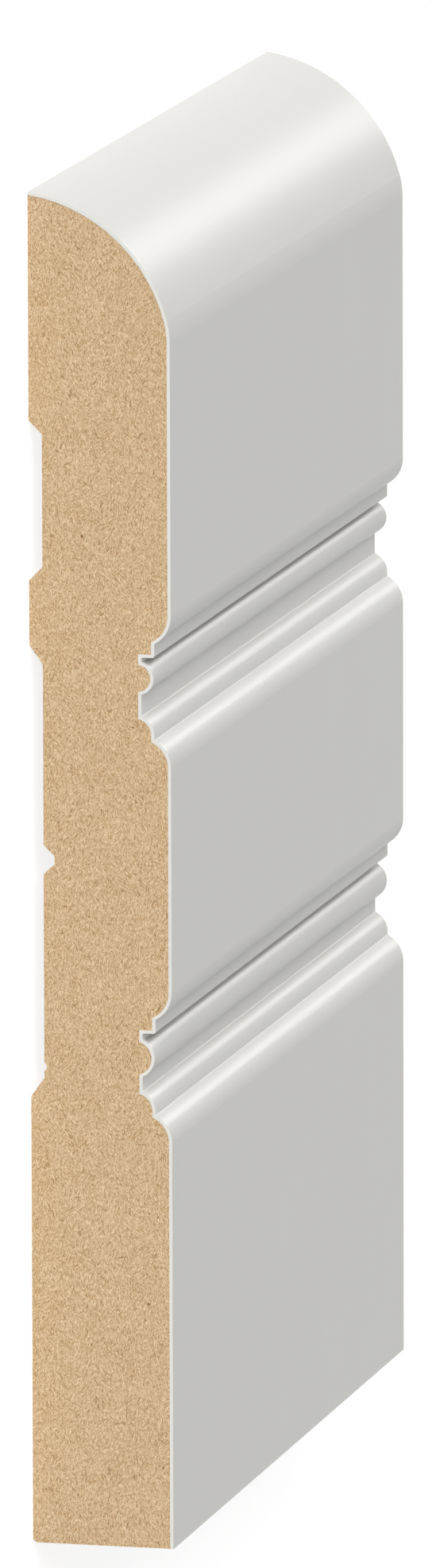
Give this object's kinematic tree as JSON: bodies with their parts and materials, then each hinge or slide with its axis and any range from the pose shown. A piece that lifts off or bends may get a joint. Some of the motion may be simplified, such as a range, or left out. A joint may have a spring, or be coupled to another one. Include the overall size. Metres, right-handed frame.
{
  "type": "skirting board length",
  "caption": "Short length of moulded skirting board: MDF with a rounded top edge, two moulded bands, a channelled back and a white coat on its front.",
  "frame": {"origin": "centre of the bounding box at its base: midway along the length and up the board's height, on the plane of the back", "axes": "+X up the board's height, from its bottom edge to its rounded top edge; +Y along its length, towards the end that the picture shows; +Z from its back to its moulded front. The board lies on its back"},
  "size_m": [0.17, 0.126, 0.018],
  "materials": {
    "mdf": "raw medium-density fibreboard, fine random fibres, matt",
    "white_coat": "smooth white factory primer, satin"
  },
  "bodies": {
    "root": {"mdf_board": "mdf", "white_coat": "white_coat"}
  },
  "joints": []
}
